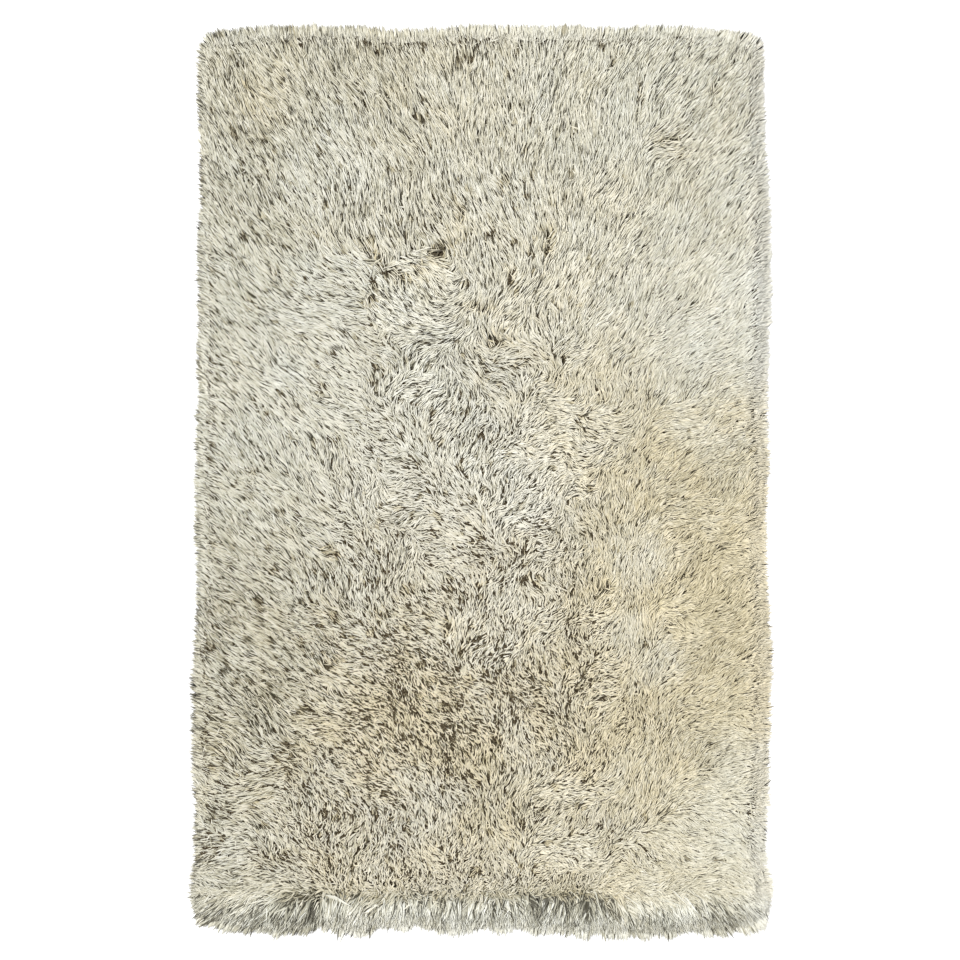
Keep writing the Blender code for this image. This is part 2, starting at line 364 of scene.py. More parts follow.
# There the yarns hang in locks, each drawn in towards its tip, and each of its own length.
LOCK_WIDTH = 0.016
LOCK_DRIFT = 1.6
LOCK_WANDER = 0.4
LOCK_DRAW = 0.60
LOCKS = 200
LOCK_TURN = np.random.default_rng(SEED + 30).normal(0.0, 0.14, LOCKS)
LOCK_SHADE = np.random.default_rng(SEED + 32).normal(0.0, 1.0, LOCKS)
LOCK_SHORT = np.random.default_rng(SEED + 31).uniform(0.0, 0.016, LOCKS)

# The sides of a lock are shorter than its middle, and some of its yarns are shorter than others.
LOCK_SIDE_SHORT = 0.014
YARN_SHORT = 0.012

# The fringe's own yarns reach this much further than the pile's other yarns there.
FRINGE_LEAD = 0.018

# How far past the CAD pile's thin rim the tips reach, yarn by yarn and in patches.
PAST = 0.004
PAST_SPREAD = 0.0045
PAST_PATCHES = 0.004

# What is added to that at each end, on the left side, and near the corners.
FAR_PAST = 0.010
NEAR_PAST = 0.009
LEFT_PAST = -0.004
CORNER_PAST = 0.012
CORNER_FROM_X = 0.46
CORNER_OVER_X = 0.06
NEAR_CORNER_PAST = -0.014
NEAR_CORNER_FROM_Y = -0.80
NEAR_CORNER_OVER_Y = 0.08


def lay_at(x, y):
    """The comb's heading as a unit vector, and then the pile's other measures in the order of Lay."""
    total = np.zeros((7, len(x)))
    weights = np.zeros(len(x))
    for lay in LAYS:
        # The smaller a place is, the more it counts over the region that it lies in.
        spread = np.exp(-((x - lay.x) ** 2 + (y - lay.y) ** 2) / (2 * lay.size**2))
        weight = spread * (REGION / lay.size) ** 2 + 1e-9
        heading = math.radians(lay.heading)
        row = (math.cos(heading), math.sin(heading), *lay[4:])
        total += np.outer(row, weight)
        weights += weight
    total /= weights
    size = np.hypot(total[0], total[1]) + 1e-9
    return total[0] / size, total[1] / size, *total[2:]


def part(x, y, lean_x, lean_y):
    """The headings turned away from each parting, how far inside one each point is, and its shift."""
    inside = np.zeros(len(x))
    shift_x, shift_y = np.zeros(len(x)), np.zeros(len(x))
    for parting in PARTINGS:
        heading = math.radians(parting.heading)
        off_x, off_y = x - parting.x, y - parting.y
        lengthways = off_x * math.cos(heading) + off_y * math.sin(heading)
        sideways = off_y * math.cos(heading) - off_x * math.sin(heading)
        far_out = (lengthways / parting.half_length) ** 2 + (sideways / parting.half_width) ** 2
        weight = parting.push * np.exp(-far_out)
        side = np.tanh(sideways / PARTING_LINE)
        lean_x = lean_x - weight * side * math.sin(heading)
        lean_y = lean_y + weight * side * math.cos(heading)
        shift_x -= PARTING_OPENS * weight * side * math.sin(heading)
        shift_y += PARTING_OPENS * weight * side * math.cos(heading)
        inside = np.maximum(inside, weight)
    size = np.hypot(lean_x, lean_y) + 1e-9
    return lean_x / size, lean_y / size, inside, shift_x, shift_y


def parted(x, y):
    """How far inside a parting each point is."""
    return part(x, y, np.ones(len(x)), np.zeros(len(x)))[2]


def lock_at(x, y):
    """The number of the lock that each point hangs in, and how far right of its middle it is."""
    along = x / LOCK_WIDTH + LOCKS / 2 + LOCK_DRIFT * patchy(x, 0, *LOCK_PATCHES)
    along += LOCK_WANDER * patchy(x, y, *SMALL_LOCK_PATCHES)
    number = np.round(along)
    return number.astype(int), along - number


def fall_heading(x, y):
    """Which way the pile falls over the near end, in radians from +X."""
    fall = np.radians(np.interp(x, [f.x for f in FALLS], [f.heading for f in FALLS]))
    lock, offset = lock_at(x, y)
    return fall + FALL_TURN * patchy(x, 0, *FALL_PATCHES) + LOCK_TURN[lock] + LOCK_DRAW * offset


# ---- Tufts ----

# How far tufts turn from the comb's heading, in radians: where the pile swirls, in wide patches,
# in small ones and one by one, and everywhere, in patches and one by one.
SWIRL_TURN = 2.2
SMALL_SWIRL_TURN = 1.1
TUFT_SWIRL = 0.25
PATCH_TURN = 0.10
TUFT_TURN = 0.08

# How much combing differs from patch to patch, and its least and most.
COMBED_SPREAD = 0.15
COMBED_LIMITS = (0.05, 0.95)

# Some tufts lie lower than their neighbours, in their shade. This is their share where the top is
# roughest, how much lower they are, and how much darker and warmer they are painted, as painted
# shade.
LOW_TUFTS = 0.10
LOW_BY = 0.006
LOW_SHADE = 0.30
LOW_WARM = 0.3

# How unevenly the others stand, reach, bend and are shaded.
RISE_SPREAD = 0.0012
LEAST_RISE = 0.2
REACH_SPREAD = (0.88, 1.12)
TUFT_BEND = 0.30
LEAST_BEND = 0.35
TUFT_SHADE = 0.03
PATCH_SHADE = 0.04

# The most that a tuft draws its tips together, and how that grows with roughness and swirl.
MOST_GATHER = 0.4
LEAST_GATHER = 0.4
ROUGH_GATHER = 0.7
SWIRL_GATHER = 0.08

# A place's paleness, painted light and shade for the lie of its pile, changes the shade by this
# much on each side of the middle paleness.
NAP_LIGHT_SHADE = 0.4
NAP_LIGHT_MIDDLE = 0.4


def turned(x, y, angle):
    """Vectors turned by these angles."""
    return x * np.cos(angle) - y * np.sin(angle), x * np.sin(angle) + y * np.cos(angle)


def jittered_grid(rng, pitch_wanted, low, high):
    """Points spread evenly, but unevenly placed, over a rectangle."""
    wide, long = high[0] - low[0], high[1] - low[1]
    across, along = round(wide / pitch_wanted), round(long / pitch_wanted)
    i, j = np.meshgrid(np.arange(across), np.arange(along), indexing="ij")
    i = i + 0.5 * (j % 2)
    spots = np.stack([i.ravel(), j.ravel()], 1) + rng.uniform(0.0, 1.0, (i.size, 2))
    return low[0] + spots[:, 0] / (across + 0.5) * wide, low[1] + spots[:, 1] / along * long


def grow_tufts(rng):
    """Each tuft's place, heading, combing, and the small ways in which tufts differ."""
    x, y = jittered_grid(rng, TUFT_PITCH, PILE_LOW.xy, PILE_HIGH.xy)
    # A place's warmth and paleness are painted light and shade for how the lie of its pile catches the
    # light.
    lean_x, lean_y, combed, swirl, rough, warm, pale = lay_at(x, y)
    count = len(x)
    wide, small = patchy(x, y, *SWIRL_PATCHES), patchy(x, y, *SMALL_SWIRL_PATCHES)
    turn = swirl * (SWIRL_TURN * wide + SMALL_SWIRL_TURN * small)
    turn += (
        PATCH_TURN * patchy(x, y, *TURN_PATCHES)
        + rng.normal(0, TUFT_TURN, count)
        + swirl * rng.normal(0, TUFT_SWIRL, count)
    )
    lean_x, lean_y = turned(lean_x, lean_y, turn)
    # Towards the near end every tuft turns to fall over it.
    drop = eased(1.0 - (y - FALL_Y) / DRAPE + 0.5 * patchy(x, y, *DROP_PATCHES))
    fall = fall_heading(x, y)
    calm_x = lean_x * (1 - drop) + drop * np.cos(fall)
    calm_y = lean_y * (1 - drop) + drop * np.sin(fall)
    lean_x, lean_y, inside, _, _ = part(x, y, calm_x, calm_y)
    combed = np.clip(combed + COMBED_SPREAD * patchy(x, y, *COMBED_PATCHES), *COMBED_LIMITS)
    # Low tufts are painted darker and warmer as painted shade.
    low = (rng.uniform(0.0, 1.0, count) < LOW_TUFTS * rough**1.5) * (1 - drop)
    rise = rng.normal(0, RISE_SPREAD, count) + RISE_SPREAD * patchy(x, y, *RISE_PATCHES)
    reach = rng.uniform(*REACH_SPREAD, count)
    gather = rng.uniform(0.0, MOST_GATHER, count) * (LEAST_GATHER + ROUGH_GATHER * rough)
    bend = rng.normal(0, TUFT_BEND, count) * (LEAST_BEND + swirl)
    shade = rng.normal(0, TUFT_SHADE, count) + PATCH_SHADE * patchy(x, y, *SHADE_PATCHES)
    return dict(
        x=x, y=y, lean_x=lean_x, lean_y=lean_y, calm_x=calm_x, calm_y=calm_y,
        drop=drop, inside=inside, rough=rough, reach=reach, bend=bend, low=low,
        combed=np.maximum(combed, FALL_COMBED * drop),
        warm=warm * (1 - FALL_COOLS * drop),
        rise=rise * (LEAST_RISE + rough) - LOW_BY * low,
        gather=gather + SWIRL_GATHER * swirl,
        shade=shade + NAP_LIGHT_SHADE * (pale - NAP_LIGHT_MIDDLE) - LOW_SHADE * low,
    )


# ---- Yarns ----

# How thickly yarn stays where the top is smooth, and how much less where it is rough or parted.
SMOOTH_WEIGHT = 1.3
ROUGH_THINS = 0.55
PARTING_THINS = 0.5

# How far out over an edge a yarn leans, by its distance from it in widths of the rim.
OUT_AT_EDGE = 1.7
OUT_PER_RIM = 1.3
OUT_LEAN = 0.8

# Yarns mix between tufts by up to this share of DRAPE, from here to the near end.
MIXING = 0.5
MIXING_FROM = 2.0
MIXING_OVER = 1.5

# How far each yarn turns from its tuft's heading, in radians: all yarns, those of a loose lay,
# and those of the middle layer. YARN_BEND is how much more its last stretch turns.
YARN_TURN = 0.09
LOOSE_TURN = 0.65
MIDDLE_TURN = 0.7
YARN_BEND = 0.20

# The way along the floor from a yarn's root to its tip: for an uncombed yarn, what combing adds,
# how much yarns differ, and how much longer they are where they fall.
REACH = 0.017
COMBED_REACH = 0.019
YARN_REACHES = (0.70, 1.20)
FALL_REACHES = (0.7, 1.5)

# A yarn that leans out past the backing has its root this far inside it, at no one line.
ROOT_INSET = 0.004
ROOT_SPREAD = 0.030
ROOT_RISE = 0.30
ROOT_HEIGHTS = (0.004, 0.014)

# How the tips lie between their layer's limits, and how much roughness and a parting sink them.
SUNK_POWER = 1.4
SMOOTH_DEPTH = 0.5
ROUGH_DEPTH = 1.1
PARTED_DEPTH = 0.006
EDGE_DEPTH = 0.9

# A yarn's two middle guide points: how far along and up from its root and back from its tip they
# are, how combing changes that, and how much higher they are where the yarn falls.
SECOND_ALONG = 0.20
SECOND_RISE = 0.45
COMBED_SECOND = 0.25
THIRD_BACK = 0.42
COMBED_THIRD = 0.36
SECOND_LIFT = 0.006
THIRD_LIFT = 0.002
YARN_RADII = (0.75, 1.2)

# A yarn's shade runs from 0 to 1. This is its start, and how far yarns differ on a smooth top and
# more on an uneven one.
SHADE = 0.78
SHADE_SPREAD = 0.07
UNEVEN_SPREAD = 0.11

# The deeper a tip is sunk the darker its yarn is painted, as painted shade, and more so where
# the top is rough.
SUNK_SHADE = 0.12
ROUGH_SUNK_SHADE = 0.28

# A few yarns are painted much darker, as painted shadow in the slits between yarns: their share
# on a smooth top and what an uneven one adds. The rest of a smooth top is a little darker to make
# up for it.
SHADOW_YARN = 0.7
SHADOW_YARN_SHARE = 0.03
UNEVEN_SHADOW_YARN_SHARE = 0.12
SMOOTH_SHADE = 0.09

# The fall counts as this uneven.
FALL_UNEVEN = 0.6

# Where the pile starts to turn over the end, it opens, and its yarns are painted darker there as
# painted shade, but not at the corners.
TURN_Y = -0.831
TURN_WIDTH = 0.020
TURN_SHADE = 0.43
CORNER_FROM = 0.34
CORNER_OVER = 0.12
RIGHT_CORNER_SHIFT = 0.14

# Painted light and shade that even out the sides that face the key and those that don't, as
# light that passes through the pile would: along the edges, yarns leaning left are painted darker
# and those leaning right lighter, and the fall's right and left corners and the right rim are
# painted lighter.
EDGE_FILL = 0.30
RIGHT_CORNER_FILL = 0.6
LEFT_CORNER_FILL = 0.1
RIM_FILL = 0.22
RIM_FILL_FROM = 0.50
RIM_FILL_OVER = 0.05

# How locks differ in shade, and how much darker their sides are painted, as painted shade from
# their neighbours.
LOCK_SHADE_SPREAD = 0.10
LOCK_SIDE_SHADE = 0.45

# How warmth differs in wide patches, in small ones and from yarn to yarn, and what a parting adds
# as the warm brown of painted shade. The middle layer's yarns in a parting are the deepest pile
# that shows, painted warmer and darker as painted shade.
PATCH_WARM = 0.12
SMALL_PATCH_WARM = 0.10
YARN_WARM = 0.09
PARTED_WARM = 0.3
DEEP_WARM = 0.8
DEEP_SHADE = 0.5


def nearest(x, y, tufts):
    """The index of the tuft nearest to each yarn."""
    tree = KDTree(len(tufts["x"]))
    for k, spot in enumerate(zip(tufts["x"], tufts["y"])):
        tree.insert((*spot, 0.0), k)
    tree.balance()
    return np.array([tree.find((a, b, 0.0))[1] for a, b in zip(x, y)])


def place_yarns(rng, layer):
    """Where the middles of a layer's yarns lie, and how much each leans out over an edge."""
    low, high = PILE_LOW.xy, PILE_HIGH.xy
    width, length = high.x - low.x, high.y - low.y
    bands = {EDGE: (width + 2 * length) * RIM_WIDTH, FRINGE: width * FRINGE_WIDTH}
    area = bands.get(layer, width * length)
    x, y = jittered_grid(rng, math.sqrt(area / (SOWN * layer.count)), low, high)
    left, right, near, far = room(x, y)
    kept = np.minimum.reduce([left, right, near, far]) > 0
    if layer is EDGE:
        rim = RIM_WIDTH * rng.uniform(*RIM_RAGGED, len(x))
        kept &= np.minimum.reduce([left, right, far]) < rim
    if layer is FRINGE:
        kept &= near < FRINGE_WIDTH
    x, y = x[kept], y[kept]
    rough = lay_at(x, y)[4]
    weight = SMOOTH_WEIGHT - ROUGH_THINS * rough
    if layer is not MIDDLE:
        weight = weight * (1 - PARTING_THINS * np.clip(parted(x, y), 0, 1))
    kept = np.argsort(rng.uniform(0.0, 1.0, len(x)) ** (1 / weight))[-layer.count:]
    x, y = x[kept], y[kept]
    left, right, near, far = room(x, y)
    out_right = eased(OUT_AT_EDGE - OUT_PER_RIM * right / RIM_WIDTH)
    out_left = eased(OUT_AT_EDGE - OUT_PER_RIM * left / RIM_WIDTH)
    out_far = eased(OUT_AT_EDGE - OUT_PER_RIM * far / RIM_WIDTH)
    return x, y, (out_right - out_left) * (layer is EDGE), out_far * (layer is EDGE)


def choose_tufts(rng, layer, x, y, tufts):
    """The measures that each yarn has from its tuft, and how far it stands from the tuft's middle."""
    count = len(x)
    # Where the pile turns to fall, its yarns mix, so that no clean parting shows.
    mixing = MIXING * DRAPE * eased(MIXING_FROM - (y - FALL_Y) / (MIXING_OVER * DRAPE))
    tuft = nearest(x, y + rng.normal(0.0, 1.0, count) * mixing, tufts)
    own = {name: values[tuft] for name, values in tufts.items()}
    own.update(off_x=x - own["x"], off_y=y - own["y"])
    if layer is FRINGE:
        fall = fall_heading(x, y)
        own.update(lean_x=np.cos(fall), lean_y=np.sin(fall), drop=np.ones(count))
        own.update(combed=np.full(count, FALL_COMBED), warm=np.full(count, FRINGE_WARM))
    return own


def yarn_headings(rng, layer, own, out_x, out_y):
    """Which way each yarn leans, as a unit vector."""
    count = len(out_x)
    loose = (1 - own["combed"]) ** 1.5
    wobble = rng.normal(0, YARN_TURN, count) + rng.normal(0, LOOSE_TURN, count) * loose
    wobble += rng.normal(0, MIDDLE_TURN, count) * (layer is MIDDLE)
    # The middle layer takes no part in the partings, so its yarns still cross them.
    kind = "calm" if layer is MIDDLE else "lean"
    lean_x, lean_y = own[kind + "_x"] + OUT_LEAN * out_x, own[kind + "_y"] + OUT_LEAN * out_y
    lean_x, lean_y = turned(lean_x, lean_y, wobble)
    size = np.hypot(lean_x, lean_y) + 1e-9
    return lean_x / size, lean_y / size


def past_outline(rng, layer, x, y, tip_x, tip_y, own, lock, offset):
    """How far past the CAD pile's rim each tip may reach, over a side and over an end."""
    count = len(x)
    past = rng.normal(PAST, PAST_SPREAD, count) + PAST_PATCHES * patchy(tip_x, tip_y, *TIP_PATCHES)
    short = (
        LOCK_SHORT[lock]
        + LOCK_SIDE_SHORT * np.abs(2 * offset) ** 1.5
        + YARN_SHORT * rng.uniform(0, 1, count) ** 2
    )
    if layer is not FRINGE:
        short = short + FRINGE_LEAD
    past_end = past + np.where(y > 0, FAR_PAST, NEAR_PAST - own["drop"] * short)
    past_end += CORNER_PAST * eased((np.abs(tip_x) - CORNER_FROM_X) / CORNER_OVER_X)
    near_corner = eased((NEAR_CORNER_FROM_Y - tip_y) / NEAR_CORNER_OVER_Y)
    past_side = past + np.where(x < 0, LEFT_PAST, 0.0) + NEAR_CORNER_PAST * near_corner
    return past_side, past_end


def guide_points(rng, roots, tips, own, falling):
    """Four points along each yarn, which rises first, then lies over, and bends with its tuft."""
    rise = (tips - roots) * [[0, 0, 1]]
    along = (tips - roots) * [[1, 1, 0]]
    bend = own["bend"] + rng.normal(0, YARN_BEND, len(roots))
    turn_x, turn_y = turned(along[:, 0], along[:, 1], bend)
    last = np.stack([turn_x, turn_y, np.zeros(len(roots))], 1)
    combed, falling = own["combed"][:, None], falling[:, None]
    second = (
        roots
        + SECOND_ALONG * along
        + rise * (SECOND_RISE + COMBED_SECOND * combed)
        + falling * [[0, 0, SECOND_LIFT]]
    )
    third = (
        tips
        - last * THIRD_BACK
        - rise * (THIRD_BACK - COMBED_THIRD * combed)
        + falling * [[0, 0, THIRD_LIFT]]
    )
    return roots, second, third, tips


def yarn_shade(rng, layer, x, y, own, sunk, edge_light, lock, offset):
    """How light each yarn is, from 0 to 1: its own tone, with painted shade and painted light added.
    """
    count = len(x)
    uneven = np.maximum(own["rough"], FALL_UNEVEN * own["drop"])
    spread = (SHADE_SPREAD + UNEVEN_SPREAD * uneven) * rng.normal(0, 1, count)
    # Painted shade for tips sunk deep in the pile.
    spread = spread - (SUNK_SHADE + ROUGH_SUNK_SHADE * own["rough"]) * sunk
    # Yarns painted dark as the shadow in the slits between yarns.
    dark = rng.uniform(0.0, 1.0, count) < SHADOW_YARN_SHARE + UNEVEN_SHADOW_YARN_SHARE * uneven
    spread -= SHADOW_YARN * dark + SMOOTH_SHADE * (1 - uneven)
    # Painted shade where the pile turns over the near end.
    corner = eased((np.where(x > 0, x + RIGHT_CORNER_SHIFT, -x) - CORNER_FROM) / CORNER_OVER)
    spread -= TURN_SHADE * np.exp(-((y - TURN_Y) / TURN_WIDTH) ** 2) * (1 - corner)
    # Painted light and shade along the edges, on the fall's corners and in the right rim.
    fill = np.where(x > 0, RIGHT_CORNER_FILL, LEFT_CORNER_FILL)
    spread += EDGE_FILL * (edge_light + own["drop"] * corner * fill)
    spread += RIM_FILL * eased((x - RIM_FILL_FROM) / RIM_FILL_OVER)
    # Painted shade on the sides of the locks.
    lock_side = np.abs(2 * offset) ** 1.5
    spread += own["drop"] * (LOCK_SHADE_SPREAD * LOCK_SHADE[lock] - LOCK_SIDE_SHADE * lock_side)
    # Painted shade on the middle layer's yarns deep in a parting.
    deep = own["inside"] * (layer is MIDDLE)
    return np.clip(SHADE + own["shade"] + spread - layer.dark - DEEP_SHADE * deep, 0, 1)


def yarn_warmth(rng, layer, x, y, own):
    """How warm each yarn is, from 0 to 1, with the warm brown of painted shade in partings and low
    tufts.
    """
    deep = own["inside"] * (layer is MIDDLE)
    warm = own["warm"] + PATCH_WARM * patchy(x, y, *WARM_PATCHES)
    warm = warm + SMALL_PATCH_WARM * patchy(x, y, *SMALL_WARM_PATCHES)
    # The warm brown of painted shade in a parting, deep in one and in low tufts.
    warm += (
        rng.normal(0, YARN_WARM, len(x))
        + DEEP_WARM * deep
        + PARTED_WARM * own["inside"]
        + LOW_WARM * own["low"]
    )
    return np.clip(warm, 0, 1)


def grow_yarns(layer, tufts, rng):
    """A layer's yarns: four guide points each, root to tip, with its radius, shade and warmth."""
    x, y, out_x, out_y = place_yarns(rng, layer)
    count = len(x)
    own = choose_tufts(rng, layer, x, y, tufts)
    if layer is not MIDDLE:
        _, _, _, shift_x, shift_y = part(x, y, own["lean_x"], own["lean_y"])
        x, y = x + shift_x, y + shift_y
    lean_x, lean_y = yarn_headings(rng, layer, own, out_x, out_y)
    reach = REACH + COMBED_REACH * own["combed"]
    reach = reach * own["reach"] * rng.uniform(*YARN_REACHES, count)
    reach = reach * (1 + own["drop"] * rng.uniform(*FALL_REACHES, count))
    inset = ROOT_INSET + rng.uniform(0.0, ROOT_SPREAD, count)
    root_x = np.clip(x - ROOT_SHARE * lean_x * reach, BACKING_LOW.x + inset, BACKING_HIGH.x - inset)
    root_y = np.clip(y - ROOT_SHARE * lean_y * reach, BACKING_LOW.y + inset, BACKING_HIGH.y - inset)
    tip_x = x + (1 - ROOT_SHARE) * lean_x * reach - own["gather"] * own["off_x"]
    tip_y = y + (1 - ROOT_SHARE) * lean_y * reach - own["gather"] * own["off_y"]
    lock, offset = lock_at(x, y)
    past_side, past_end = past_outline(rng, layer, x, y, tip_x, tip_y, own, lock, offset)
    tip_x, tip_y = stop_at_outline(root_x, root_y, tip_x, tip_y, past_side, past_end)
    top = pile_height(tip_x, tip_y)
    sunk = rng.uniform(0.0, 1.0, count) ** SUNK_POWER
    depth = layer.shallow + (layer.deep - layer.shallow) * sunk
    depth = depth * (SMOOTH_DEPTH + ROUGH_DEPTH * own["rough"]) + PARTED_DEPTH * own["inside"]
    if layer in (EDGE, FRINGE):
        depth = depth + top * rng.uniform(0.0, EDGE_DEPTH, count) ** 2
    tip_z = np.maximum(top + own["rise"] - depth, FLOOR_GAP + layer.radius)
    root_z = np.clip(ROOT_RISE * pile_height(root_x, root_y), *ROOT_HEIGHTS)
    roots, tips = np.stack([root_x, root_y, root_z], 1), np.stack([tip_x, tip_y, tip_z], 1)
    guides = guide_points(rng, roots, tips, own, own["drop"] + np.hypot(out_x, out_y))
    radius = layer.radius * rng.uniform(*YARN_RADII, count)
    edge_light = lean_x * np.abs(out_x)
    shade = yarn_shade(rng, layer, x, y, own, sunk, edge_light, lock, offset)
    return guides, radius, shade, yarn_warmth(rng, layer, x, y, own)


def bezier(guides, share):
    """The points at this share of the way along each yarn."""
    a, b, c, d = guides
    rest = 1 - share
    return rest**3 * a + 3 * rest**2 * share * b + 3 * rest * share**2 * c + share**3 * d


def unit(vectors):
    """The vectors at a length of 1."""
    return vectors / (np.linalg.norm(vectors, axis=1, keepdims=True) + 1e-12)


# The yarns' shades, which carry painted shade and light as well as each yarn's own tone, are drawn
# on one small chart: a row for each shade, its darker rows browner as shade in the pile is, and
# across it from cool to warm. A yarn takes a narrow strip of its row, from its root at the bottom
# to its tip.
SHADE_ROWS = 5
SHADE_STOPS = (
    (0.00, (0.09, 0.083, 0.060)),
    (0.25, (0.47, 0.457, 0.395)),
    (0.50, (0.73, 0.725, 0.68)),
    (0.75, (0.865, 0.865, 0.855)),
    (1.00, (0.95, 0.95, 0.96)),
)
STRIP = 0.016
ROW_MARGIN = 0.04

# How round a blade looks across, and how far its normals turn to level.
BLADE_ROUND = 1.1
BLADE_LEVEL = 0.8

# A blade narrows from the middle of its yarn to its tip by this much.
BLADE_TAPER = 0.25

# The undersides along the edges, which light from the floor reaches, all take the lighter tone of
# this place in their row, as painted light from the floor.
UNDERSIDE_LIGHT_TONE = 0.8

# The share of a yarn's length at which its tip's direction is taken, and the step for any one.
TIP_DIRECTION_AT = 0.95
DIRECTION_STEP = 0.05


def blade_faces(layer):
    """A blade's four triangles and their places on the chart: a point, two corners, and a point."""
    root, tip = (0.5, layer.start), (0.5, 1.0)
    left, right = (0.0, layer.widest), (1.0, layer.widest)
    faces = ((0, 2, 1), (3, 1, 2), (0, 1, 3), (0, 3, 2))
    spots = ((root, right, left), (tip, left, right), (root, left, tip), (root, tip, right))
    return np.array(faces), np.array(spots)


def across_and_up(guides, share):
    """The directions across and up from each yarn at this share of its length, and its place."""
    here = bezier(guides, share)
    ahead = unit(bezier(guides, share + DIRECTION_STEP) - here)
    side = unit(np.cross(ahead, [0.0, 0.0, 1.0]) + [[1e-6, 0, 0]])
    return side, np.cross(side, ahead), here


def blade_normals(layer, guides):
    """Normals that shade each blade as the upper half of a round yarn, turned part way to level.

    A silky pile passes light from yarn to yarn, so its slopes look less shaded than hard ones.
    """
    normals = []
    places = ((layer.start, 0), (layer.widest, -1), (layer.widest, 1), (TIP_DIRECTION_AT, 0))
    for share, outward in places:
        side, up, _ = across_and_up(guides, share)
        normals.append(unit(up + [[0.0, 0.0, BLADE_LEVEL]] + BLADE_ROUND * outward * side))
    return np.stack(normals, 1)


def face_out(layer, guides, corners, normals):
    """The blades that sag between their ends get their two sides swapped, so that they face out."""
    _, up, _ = across_and_up(guides, layer.widest)
    sag = ((corners[:, 1] + corners[:, 2] - corners[:, 0] - corners[:, 3]) * up).sum(axis=1) < 0
    for values in (corners, normals):
        values[sag] = values[sag][:, [0, 2, 1, 3]]


def blade_corners(layer, guides, radius):
    """Every blade's corners: where it starts, one on each side at its widest, and its tip."""
    side, _, here = across_and_up(guides, layer.widest)
    narrowed = 1.0 - BLADE_TAPER * max(0.0, layer.widest - 0.5) / 0.5
    half = side * (radius * narrowed)[:, None]
    corners = np.stack([bezier(guides, layer.start), here - half, here + half, guides[3]], 1)
    corners[:, :, 2] = np.maximum(corners[:, :, 2], FLOOR_GAP)
    return corners


def yarn_mesh(name, layer, guides, radius, shade, warm):
    """One mesh of closed, tapered yarns."""
    faces, spots = blade_faces(layer)
    corners, normals = blade_corners(layer, guides, radius), blade_normals(layer, guides)
    face_out(layer, guides, corners, normals)
    count, size = corners.shape[:2]
    all_faces = faces[None] + (np.arange(count) * size)[:, None, None]
    row = np.minimum((shade * SHADE_ROWS).astype(int), SHADE_ROWS - 1)
    u = (warm * (1 - STRIP))[:, None, None] + spots[None, :, :, 0] * STRIP
    inner = ROW_MARGIN + (1 - 2 * ROW_MARGIN) * spots[None, :, :, 1]
    shaded = normals[:, faces]
    if layer in (EDGE, FRINGE):
        # Their last two faces are the undersides, which show here, so they face as they lie, and they
        # are painted in a lighter tone as painted light from the floor.
        inner[:, 2:] = UNDERSIDE_LIGHT_TONE
        blade = corners[:, faces[2:]]
        under = np.cross(blade[:, :, 1] - blade[:, :, 0], blade[:, :, 2] - blade[:, :, 0])
        shaded[:, 2:] = unit(under.reshape(-1, 3)).reshape(count, 2, 1, 3)
    v = (row[:, None, None] + inner) / SHADE_ROWS
    mesh = bpy.data.meshes.new(name)
    mesh.from_pydata(corners.reshape(-1, 3), [], all_faces.reshape(-1, 3))
    chart = mesh.uv_layers.new(name="OFBake")
    chart.data.foreach_set("uv", np.stack([u, v], -1).ravel().astype(np.float32))
    mesh.shade_smooth()
    mesh.normals_split_custom_set(shaded.reshape(-1, 3))
    return mesh


def new_piece(name, mesh):
    """A piece of the rug in the scene, which rides on its one body."""
    piece = bpy.data.objects.new(name, mesh)
    bpy.context.scene.collection.objects.link(piece)
    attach(piece, "root")
    return piece


def make_yarns(material):
    """Every layer's yarns, in bands from the near end to the far end."""
    rng = np.random.default_rng(SEED)
    tufts = grow_tufts(rng)
    for layer in LAYERS:
        guides, radius, shade, warm = grow_yarns(layer, tufts, rng)
        for k, own in enumerate(np.array_split(np.argsort(guides[0][:, 1]), layer.bands)):
            name = f"pile_{layer.name}_{k + 1}"
            band = tuple(guide[own] for guide in guides)
            mesh = yarn_mesh(name, layer, band, radius[own], shade[own], warm[own])
            piece = new_piece(name, mesh)
            piece.data.materials.append(material)
            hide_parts("pile")


# ---- The bed: the lower pile under the imported pile's top, painted dark as shade, that shows in the gaps ----

BED_QUAD = 0.016

# How far under the pile's top the bed lies, how much deeper in a parting, and its unevenness.
BED_DEPTH = 0.0140
BED_DIP = 0.009
BED_UNEVEN = 0.0015

# How far inside the outline its rim is, and how ragged. At the near end it is inside the backing.
BED_INSET = 0.022
BED_RAGGED = 0.011
NEAR_BED_INSET = 0.032
NEAR_BED_RAGGED = 0.010

# Its gap over the backing, and its least thickness.
BED_GAP = 0.0008
BED_THINNEST = 0.0015

# About where the side rims and the far rim are, for their raggedness.
SIDE_RIM_X = 0.5
FAR_RIM_Y = 0.8


